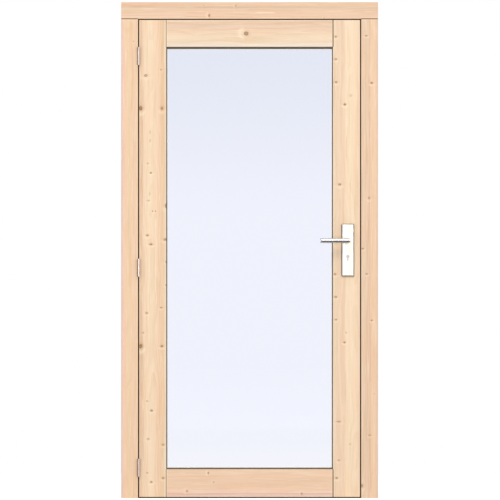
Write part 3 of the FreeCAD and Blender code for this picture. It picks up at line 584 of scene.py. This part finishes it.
# The strike plate. Stamped steel, zinc plated, let flush into the lock post and held by two
# countersunk screws. Metal that is rolled or ground has fine lines along it.
ground_group, given, gives = new_group(
    "ground_metal",
    [("Point", "Vector", None), ("Rough", "Float", 0.3), ("Tone", "Color", (0.8, 0.8, 0.8, 1))],
    [("Color", "Color"), ("Roughness", "Float"), ("Height", "Float")],
)
tree = ground_group
scratch = noise(tree, given["Point"], 1.0, 3.0, 0.65)
cloud = noise(tree, given["Point"], 0.02, 3.0)
dulled = tinted(tree, given["Tone"], ease_between(tree, cloud, 0.35, 0.75), (0.93, 0.92, 0.90, 1))
tree.links.new(dulled, gives["Color"])
roughened = sum_up(tree, "MULTIPLY_ADD", scratch, 0.16, -0.08)
tree.links.new(sum_up(tree, "ADD", given["Rough"], roughened), gives["Roughness"])
tree.links.new(scratch, gives["Height"])


def metal(name, colour, rough, lines=(900.0, 900.0, 60.0), rim=None, lean=0.0, brow=None, metallic=1.0):
    """A ground or plated metal with its fine lines running along the axis of the smallest number. The rim
    says at which facing to the front or back the painted shade starts and ends, and how dark it grows: the
    finish is painted darker where it turns away from the front, as shade and dark reflection on rounded
    parts. The lean moves the light side of a round bar to the right. Above the height of the brow the
    finish is painted darker too, as shade on a top edge."""
    material, tree = new_material(name)
    point = stretch(tree, add(tree, "TexCoord").outputs["Object"], *lines)
    run = add(tree, "Group", {"Point": point, "Rough": rough, "Tone": colour}, node_tree=ground_group)
    finish = run.outputs["Color"]
    if rim:
        start, end, depth = rim
        # Painted shade and dark reflection, mixed into the finish as a dark brown.
        facing = add(tree, "SeparateXYZ", {0: add(tree, "TexCoord").outputs["Normal"]}).outputs
        facing = sum_up(tree, "ABSOLUTE", sum_up(tree, "MULTIPLY_ADD", facing["X"], lean, facing["Y"]))
        turned = ease_between(tree, facing, start, end, 0.0, depth)
        if brow:
            height = add(tree, "SeparateXYZ", {0: add(tree, "TexCoord").outputs["Object"]}).outputs["Z"]
            painted_brow_shade = ease_between(tree, height, brow - 0.0008, brow + 0.0006, 0.0, 0.5)
            turned = sum_up(tree, "MAXIMUM", turned, painted_brow_shade)
        finish = tinted(tree, finish, turned, (0.10, 0.075, 0.05, 1), "MIX")
    lumps = add(tree, "Bump", {"Strength": 0.12, "Distance": 0.00005, "Height": run.outputs["Height"]})
    skin = add(tree, "BsdfPrincipled", {
        "Base Color": finish, "Metallic": metallic, "Roughness": run.outputs["Roughness"],
        "Normal": lumps.outputs[0],
    })
    add(tree, "OutputMaterial", {"Surface": skin.outputs[0]})
    return material


zinc = metal("zinc_plated_steel", shade(214, 214, 208), 0.34)
dress(part["strike_plate"], zinc)


def screw_heads(name, places, facing, body, slot, radius, rise=0.0007, recess=0.0006):
    """Raised countersunk heads in one mesh. Height over the plate is a shallow dome, less a cross-shaped
    recess whose two arms are smooth steps in the distance from the head's middle lines. Rings of points run
    from the middle over the rim and down into the plate, and close below it."""
    steps, arm = 24, radius * 0.16
    turn = np.linspace(0, 2 * np.pi, steps, endpoint=False)
    reach = np.array([0.12, 0.2, 0.3, 0.42, 0.5, 0.58, 0.72, 0.88, 0.97, 1.0]) * radius
    r, t = np.meshgrid(reach, turn, indexing="ij")
    u, v = r * np.cos(t), r * np.sin(t)
    dome = rise * (1 - 0.75 * (r / radius) ** 2)
    near = np.minimum(np.abs(u), np.abs(v))
    cross = np.clip((arm * 1.5 - near) / (arm * 0.9), 0, 1)
    cross = cross * np.clip((0.60 * radius - r) / (0.10 * radius), 0, 1)
    height = dome - recess * cross
    skirt = np.full(steps, -0.0004)
    rows_u = np.vstack([u, u[-1]])
    rows_v = np.vstack([v, v[-1]])
    rows_h = np.vstack([height, skirt])
    flat = np.stack([rows_u, rows_v, rows_h], -1).reshape(-1, 3)
    points = np.vstack([flat, [0, 0, rise - recess], [0, 0, -0.0004]])
    rows = len(rows_u)
    i, j = np.meshgrid(np.arange(rows - 1), np.arange(steps), indexing="ij")
    after = (j + 1) % steps
    walls = np.stack([i * steps + j, (i + 1) * steps + j, (i + 1) * steps + after, i * steps + after], -1)
    walls = walls.reshape(-1, 4)
    j, after = np.arange(steps), (np.arange(steps) + 1) % steps
    top = np.stack([np.full(steps, len(flat)), j, after], -1)
    last = (rows - 1) * steps
    bottom = np.stack([np.full(steps, len(flat) + 1), last + after, last + j], -1)
    out = np.array(facing, float)
    side = np.cross(out, (0, 0, 1.0)) if abs(out[2]) < 0.9 else np.array((1.0, 0, 0))
    frame_of = np.stack([side, np.cross(out, side), out])
    every, faces = [], []
    for number, place in enumerate(places):
        angle = 0.7 * number + 0.3
        cosine, sine = np.cos(angle), np.sin(angle)
        spin = np.array([[cosine, sine, 0], [-sine, cosine, 0], [0, 0, 1]])
        every.append(points @ spin @ frame_of + np.array(place))
        faces += [face + number * len(points) for kind in (walls, top, bottom) for face in kind]
    dress(new_mesh(name, np.vstack(every), faces, body), zinc)


strike_low, strike_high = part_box("strike_plate")
leaf_middle, screw_inset, flat_head = -0.025, 0.012, (0.0036, 0.0004, 0.0004)
ends = (strike_low.z + screw_inset, strike_high.z - screw_inset)
places = [(strike_low.x, leaf_middle, z) for z in ends]
screw_heads("strike_plate_screws", places, (-1, 0, 0), "frame", "lock_steel", *flat_head)


# The stiles. Two planed spruce boards, 114 by 40 mm, run the full height of the leaf. The left
# one holds rows of small branches and a grey-brown streak near its hinge edge.
stile_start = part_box("hinge_stile")[0].x
stile_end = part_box("hinge_stile")[1].x
lock_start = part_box("lock_stile")[0].x
leaf_face, leaf_low, leaf_height, stile_width = -0.045, 0.005, 2.015, 0.114
low_rail_top, high_rail_low, left_seam, right_seam = 0.117, 1.902, 0.0017, 0.0030
hinge_stile = Timber(
    "spruce_hinge_stile", (stile_start, leaf_face, leaf_low), False, stile_width,
    [(0.0, drab), (0.11, drab), (0.15, straw), (0.4, cream), (0.62, straw), (0.8, peach), (0.9, honey),
     (0.975, bleached)],
    (0.055, 0.11), ring=0.0042, seed=23.0, figure=0.5)
hinge_stile.knot(0.028, 1.780, 0.007, 0.7)
hinge_stile.knot(0.092, 1.805, 0.004, 0.45)
hinge_stile.knot(0.007, 1.642, 0.006, 1.0, 1.5)
hinge_stile.knot(0.096, 1.642, 0.005, 0.8, 1.4)
hinge_stile.knot(0.046, 1.541, 0.002, 0.4, 3.0)
hinge_stile.knot(0.046, 1.505, 0.002, 0.4, 3.0)
hinge_stile.knot(0.036, 1.409, 0.004, 0.4)
hinge_stile.knot(0.049, 1.369, 0.004, 0.9)
hinge_stile.knot(0.045, 1.280, 0.002, 0.4, 3.0)
hinge_stile.knot(0.039, 1.252, 0.005, 0.45)
hinge_stile.knot(0.113, 1.230, 0.005, 0.9, 1.6)
hinge_stile.knot(0.057, 1.207, 0.002, 0.7, 1.6)
hinge_stile.knot(0.069, 1.207, 0.002, 0.7, 1.6)
hinge_stile.knot(0.035, 1.105, 0.005, 0.8)
hinge_stile.knot(0.050, 1.067, 0.006, 0.9, 0.6)
hinge_stile.knot(0.107, 1.088, 0.006, 0.8)
hinge_stile.knot(0.113, 0.993, 0.004, 0.6)
hinge_stile.knot(0.113, 0.895, 0.004, 0.6)
hinge_stile.knot(0.093, 0.800, 0.004, 0.7)
hinge_stile.knot(0.032, 0.777, 0.005, 0.6)
hinge_stile.knot(0.015, 0.694, 0.005, 0.4)
hinge_stile.knot(0.007, 0.637, 0.006, 1.0, 1.5)
hinge_stile.knot(0.095, 0.637, 0.005, 0.9)
hinge_stile.knot(0.034, 0.405, 0.005, 0.4)
hinge_stile.knot(0.052, 0.365, 0.005, 0.8)
hinge_stile.knot(0.038, 0.245, 0.005, 0.5)
hinge_stile.knot(0.100, 0.221, 0.005, 0.6)
hinge_stile.knot(0.034, 0.102, 0.004, 0.5)
hinge_stile.knot(0.051, 0.063, 0.005, 0.8)
hinge_stile.knot(0.100, 0.080, 0.005, 0.7)
hinge_stile.streak(0.016, 1.22, 1.60, 0.0035, 0.40, 0.014)
hinge_stile.streak(0.016, 1.25, 1.58, 0.0011, 0.50, 0.014)
hinge_stile.streak(0.008, 1.28, 1.50, 0.0014, 0.40, 0.006)
hinge_stile.streak(0.020, 1.62, 1.74, 0.0020, 0.30, 0.008)
hinge_stile.streak(0.016, 0.40, 0.62, 0.0035, 0.40, 0.014)
hinge_stile.streak(0.019, 0.14, 0.38, 0.0050, 0.35, 0.010)
hinge_stile.streak(0.016, 0.42, 0.60, 0.0011, 0.50, 0.014)
hinge_stile.streak(0.009, 0.42, 0.56, 0.0014, 0.40, 0.006)
hinge_stile.streak(0.070, 0.86, 1.18, 0.0025, 0.55, 0.004, pale=True)
hinge_stile.streak(0.055, 0.92, 1.06, 0.0015, 0.40, 0.004, pale=True)
hinge_stile.streak(0.046, 0.83, 0.86, 0.0012, 0.35)
hinge_stile.streak(0.068, 0.83, 0.86, 0.0012, 0.35)
hinge_stile.streak(0.072, 1.20, 1.44, 0.0025, 0.35, 0.004, pale=True)
hinge_stile.edge("X", stile_width, left_seam, low=high_rail_low)
hinge_stile.edge("X", stile_width, left_seam, high=low_rail_top)
hinge_stile.edge("X", 0.0, free)
hinge_stile.edge("Z", leaf_height, free)
hinge_stile.finish("hinge_stile")

lock_stile = Timber(
    "spruce_lock_stile", (lock_start, leaf_face, leaf_low), False, stile_width,
    [(0.02, bleached), (0.07, shade(243, 217, 187)), (0.38, shade(246, 217, 189)), (0.5, cream),
     (0.72, cream), (0.94, straw), (1.0, drab)],
    (0.09, 0.12), ring=0.0045, seed=31.0, figure=0.4)
lock_stile.knot(0.011, 1.944, 0.005, 0.7)
lock_stile.knot(0.011, 1.849, 0.005, 0.7)
lock_stile.knot(0.013, 1.752, 0.005, 0.8)
lock_stile.knot(0.049, 1.658, 0.005, 1.0)
lock_stile.knot(0.073, 1.696, 0.007, 0.25)
lock_stile.knot(0.028, 1.320, 0.006, 0.8)
lock_stile.knot(0.009, 0.941, 0.005, 0.7)
lock_stile.knot(0.011, 0.845, 0.005, 0.7)
lock_stile.knot(0.012, 0.749, 0.004, 0.8)
lock_stile.knot(0.054, 0.694, 0.004, 0.4)
lock_stile.knot(0.048, 0.653, 0.004, 1.0, 0.8)
lock_stile.knot(0.024, 0.318, 0.007, 0.6, 0.5)
lock_stile.knot(0.072, 0.223, 0.004, 0.3)
lock_stile.knot(0.024, 0.155, 0.005, 0.5)
lock_stile.knot(0.015, 0.080, 0.005, 0.8)
lock_stile.streak(0.058, 1.72, 1.83, 0.0018, 0.55, 0.002, pale=True)
lock_stile.streak(0.075, 1.70, 1.82, 0.0018, 0.50, 0.002, pale=True)
lock_stile.streak(0.057, 1.57, 1.61, 0.0018, 0.60, 0.002, pale=True)
lock_stile.streak(0.075, 1.50, 1.62, 0.0020, 0.45, 0.002, pale=True)
lock_stile.streak(0.057, 1.43, 1.53, 0.0020, 0.25)
lock_stile.streak(0.071, 1.25, 1.33, 0.0016, 0.30)
lock_stile.streak(0.078, 1.25, 1.34, 0.0020, 0.40, 0.002, pale=True)
lock_stile.streak(0.052, 0.42, 0.53, 0.0018, 0.22)
lock_stile.edge("X", 0.0, right_seam, low=high_rail_low)
lock_stile.edge("X", 0.0, right_seam, high=low_rail_top)
lock_stile.edge("X", stile_width, free)
lock_stile.edge("Z", leaf_height, free)
lock_stile.finish("lock_stile")


# The rails. Two boards of the same thickness are jointed between the stiles, their grain level.
# Both have flat bands that pale towards the glass.
rail_length = lock_start - stile_end
top_rail_low, top_rail_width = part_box("top_rail")[0].z, 0.113
top_rail = Timber(
    "spruce_top_rail", (stile_end, leaf_face, top_rail_low), True, top_rail_width,
    [(0.02, shade(247, 232, 215)), (0.09, shade(244, 226, 204)), (0.18, shade(244, 222, 196)),
     (0.35, shade(247, 223, 194)), (0.55, shade(244, 216, 188)), (0.7, shade(240, 210, 183)),
     (0.92, shade(234, 204, 177)), (1.0, shade(244, 216, 188))],
    (0.04, 0.14), ring=0.006, seed=41.0, figure=0.4)
top_rail.knot(0.056, 0.338, 0.0075, 0.9, 1.3)
top_rail.streak(0.038, 0.24, 0.33, 0.0016, 0.30, 0.004)
top_rail.streak(0.097, 0.41, 0.49, 0.0020, 0.22)
top_rail.streak(0.097, 0.56, 0.63, 0.0020, 0.22)
top_rail.edge("Z", 0.0, left_seam)
top_rail.edge("Z", rail_length, right_seam)
top_rail.edge("X", top_rail_width, free)
top_rail.finish("top_rail")

bottom_rail_width = low_rail_top
bottom_rail = Timber(
    "spruce_bottom_rail", (stile_end, leaf_face, leaf_low), True, bottom_rail_width,
    [(0.0, shade(243, 215, 201)), (0.06, shade(238, 206, 190)), (0.13, shade(239, 207, 189)),
     (0.18, shade(249, 217, 197)), (0.3, shade(245, 212, 184)), (0.5, shade(242, 209, 180)),
     (0.75, shade(245, 212, 184)), (0.95, shade(244, 214, 184))],
    (0.07, 0.12), ring=0.006, seed=47.0, figure=0.35)
bottom_rail.knot(0.101, 0.178, 0.004, 0.9)
bottom_rail.knot(0.063, 0.201, 0.004, 0.4)
bottom_rail.knot(0.025, 0.088, 0.005, 0.6)
bottom_rail.knot(0.014, 0.572, 0.004, 0.6)
bottom_rail.streak(0.101, 0.075, 0.17, 0.0018, 0.60, 0.004)
bottom_rail.streak(0.014, 0.0, 0.70, 0.0018, 0.55, 0.004)
bottom_rail.edge("Z", 0.0, left_seam)
bottom_rail.edge("Z", rail_length, right_seam)
bottom_rail.finish("bottom_rail")


# The pane. One sheet of clear float glass, 6 mm thick, faintly blue, in the rebate of the leaf.
# It lies in a grey rubber gasket, and a slim white line of sealant fills the angle in front.
glass, tree = new_material("clear_glass")
height_of = add(tree, "SeparateXYZ", {0: add(tree, "TexCoord").outputs["Object"]}).outputs["Z"]
tint = shade(239, 241, 252)

# The tint is painted deeper towards the top, as painted shade. At the foot it is painted paler in two
# steps, as painted light against the low dark card, which the pane reflects there in place of the white
# floor. Each change goes from one height to another.
painted_tint_shades = ((1.15, 1.95, shade(226, 231, 244)), (0.294, 0.290, shade(243, 245, 255)),
           (0.27, 0.13, shade(247, 248, 255)))
for start, end, next_tint in painted_tint_shades:
    tint = tinted(tree, tint, ease_between(tree, height_of, start, end), next_tint, "MIX")
clear = {"Roughness": 0.0, "IOR": 1.45, "Transmission Weight": 1.0}
pane = add(tree, "BsdfPrincipled", {"Base Color": tint, **clear})
add(tree, "OutputMaterial", {"Surface": pane.outputs[0]})
dress(part["glass_pane"], glass)

grey_rubber = plain_skin("grey_rubber", shade(120, 108, 98), 0.55, {"Specular IOR Level": 0.25})
dress(part["glazing_gasket"], grey_rubber)


def round_opening(name, outer, inner, face, section):
    """A strip between two rectangles, (left, low, right, high) each, with mitred corners. Its section is a
    closed line of pairs: the part of the way from the outer rectangle to the inner one, and the height off
    the face. Each corner's points lie on the line from the outer corner to the inner one."""
    part_way, height = np.array(section, float).T
    left, low, right, high = (a + (b - a) * part_way for a, b in zip(outer, inner))
    lie = np.full(len(section), face) - height
    corners = ((left, low), (right, low), (right, high), (left, high))
    points = np.stack([np.stack([x, lie, z], -1) for x, z in corners])
    count = len(section)
    i, j = np.meshgrid(np.arange(4), np.arange(count), indexing="ij")
    near, far, after = i * count, (i + 1) % 4 * count, (j + 1) % count
    faces = np.stack([near + j, far + j, far + after, near + after], -1).reshape(-1, 4)
    return new_mesh(name, points.reshape(-1, 3), faces, "leaf", False)


def drawn_in(edge, widths):
    """A rectangle drawn in by these widths at its left, foot, right and top."""
    return tuple(place + way * width for place, way, width in zip(edge, (1, 1, -1, -1), widths))


# A dark glazing tape lies in front of the gasket, a hair wide at the sides. Over the foot and under the top
# rail it is widened as painted shade, widest under the rail, where its shadow falls.
gap, glass_face, shade_tape_height, sealant_height = 0.004, -0.030, 0.0026, 0.0022
shade_tape_widths, sealant_widths = (0.0003, 0.0025, 0.0003, 0.0045), (0.003, 0.003, 0.003, 0.0045)
opening = (stile_end, leaf_low + bottom_rail_width, lock_start, top_rail_low)
gasket_edge = drawn_in(opening, [gap] * 4)
shade_tape_edge = drawn_in(gasket_edge, shade_tape_widths)
sealant_edge = drawn_in(shade_tape_edge, sealant_widths)
flat = [(0, 0), (0, shade_tape_height), (1, shade_tape_height), (1, 0)]
shade_tape = round_opening("glazing_shade_tape", gasket_edge, shade_tape_edge, glass_face, flat)
dress(shade_tape, plain_skin("dark_shade_tape", shade(88, 78, 68), 0.6, {"Specular IOR Level": 0.2}))
bend = np.linspace(0, np.pi / 2, 7)
fillet = [(0.0, 0.0)] + [(1 - np.sin(a), sealant_height * (1 - np.cos(a))) for a in bend[::-1]]
sealant = round_opening("glass_sealant", shade_tape_edge, sealant_edge, glass_face, fillet)
gloss = {"Specular IOR Level": 1.0, "Coat Weight": 1.0}
dress(sealant, plain_skin("white_sealant", shade(252, 249, 247), 0.35, gloss, mottle=0.03))


# The beads. Four strips with a chamfered edge hold the pane from inside, mitred at the corners
# and pinned to the leaf with small brads.
beads = (("bottom_bead", True, 51.0), ("top_bead", True, 53.0), ("hinge_side_bead", False, 57.0),
         ("lock_side_bead", False, 59.0))
for name, level, seed in beads:
    bead = Timber(
        "spruce_" + name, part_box(name)[0], level, 0.015, [(0.0, straw), (1.0, peach)],
        (0.04, 0.06), ring=0.003, seed=seed, figure=0.5)
    bead.finish(name)


# The hinges. Three steel butt hinges, dull plated. Each has two flat plates, one let into the
# post and one into the stile, five knuckles and a headed pin, and four screws in each plate.
# The knuckles are painted darker at their sides, the left more than the right, as shade and dark reflection on
# a round barrel.
hinge_rim_shade, hinge_screw = (0.88, 0.58, 0.85), 0.0036
hinge_steel = metal("plated_hinge_steel", shade(250, 228, 218), 0.24, rim=hinge_rim_shade, lean=-0.35, metallic=0.4)
post_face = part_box("hinge_jamb")[1].x
end_screw, next_screw, staggered = 0.010, 0.029, (-0.022, -0.034, -0.034, -0.022)
for where in ("upper", "middle", "lower"):
    for piece in ("frame_plate", "leaf_plate", "pin"):
        dress(part[f"{where}_hinge_{piece}"], hinge_steel)
    low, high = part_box(f"{where}_hinge_frame_plate")
    heights = (low.z + end_screw, low.z + next_screw, high.z - next_screw, high.z - end_screw)
    on_post = [(post_face, y, z) for y, z in zip(staggered, heights)]
    on_stile = [(stile_start, y, z) for y, z in zip(staggered, heights)]
    screw_heads(f"{where}_hinge_frame_screws", on_post, (1, 0, 0), "frame", "hinge_steel", hinge_screw)
    screw_heads(f"{where}_hinge_leaf_screws", on_stile, (-1, 0, 0), "leaf", "hinge_steel", hinge_screw)


# The lock. A mortise case with a plated forend flush with the stile's edge, a latch bolt and a
# dead bolt, both drawn back here, and two screws in the forend.
dress(part["mortise_lock"], metal("lock_case_steel", shade(205, 205, 200), 0.36))
brass = metal("bolt_brass", shade(222, 200, 150), 0.28)
dress(part["latch_bolt"], brass)
dress(part["dead_bolt"], brass)
lock_low, lock_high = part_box("mortise_lock")
ends = (lock_low.z + screw_inset, lock_high.z - screw_inset)
places = [(lock_high.x, leaf_middle, z) for z in ends]
screw_heads("forend_screws", places, (1, 0, 0), "leaf", "lock_steel", *flat_head)


# The plates. Two long cover plates in brushed stainless steel with rounded edges, one on each
# face. Each has a keyhole, closed from behind by a small swinging cover in satin nickel. The
# outer one is blind, and two screws go through from the inner one.
# The plates' rounded edges are painted dark all round, and the top edge further in, as dark reflection and
# shade.
bevel = 0.0042
brushed = metal(
    "brushed_plate", shade(245, 241, 234), 0.30, (1400.0, 1400.0, 50.0), rim=(0.995, 0.68, 0.62),
    brow=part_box("outside_plate")[1].z - bevel)
nickel = metal("satin_nickel", shade(196, 189, 188), 0.36, (700.0, 700.0, 60.0))
for side in ("outside", "inside"):
    dress(part[side + "_plate"], brushed)
    dress(part[side + "_key_cover"], nickel)
inner_low, inner_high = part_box("inside_plate")
middle, plate_inset, round_head = (inner_low.x + inner_high.x) / 2, 0.016, (0.0042, 0.0012, 0.0009)
ends = (inner_low.z + plate_inset, inner_high.z - plate_inset)
places = [(middle, inner_high.y, z) for z in ends]
screw_heads("inside_plate_screws", places, (0, 1, 0), "leaf", "plate_metal", *round_head)


# The levers. Round stainless bars turned through a right angle, one each side, on a square
# spindle.
# The bars are painted darker where they turn away from the front, above and below, as shade and dark
# reflection.
lever_lines, lever_rim_shade = (60.0, 900.0, 900.0), (0.60, 0.34, 0.85)
lever_steel = metal("satin_lever_steel", shade(236, 237, 238), 0.24, lever_lines, rim=lever_rim_shade)
for name in ("outside_lever", "inside_lever", "spindle"):
    dress(part[name], lever_steel)
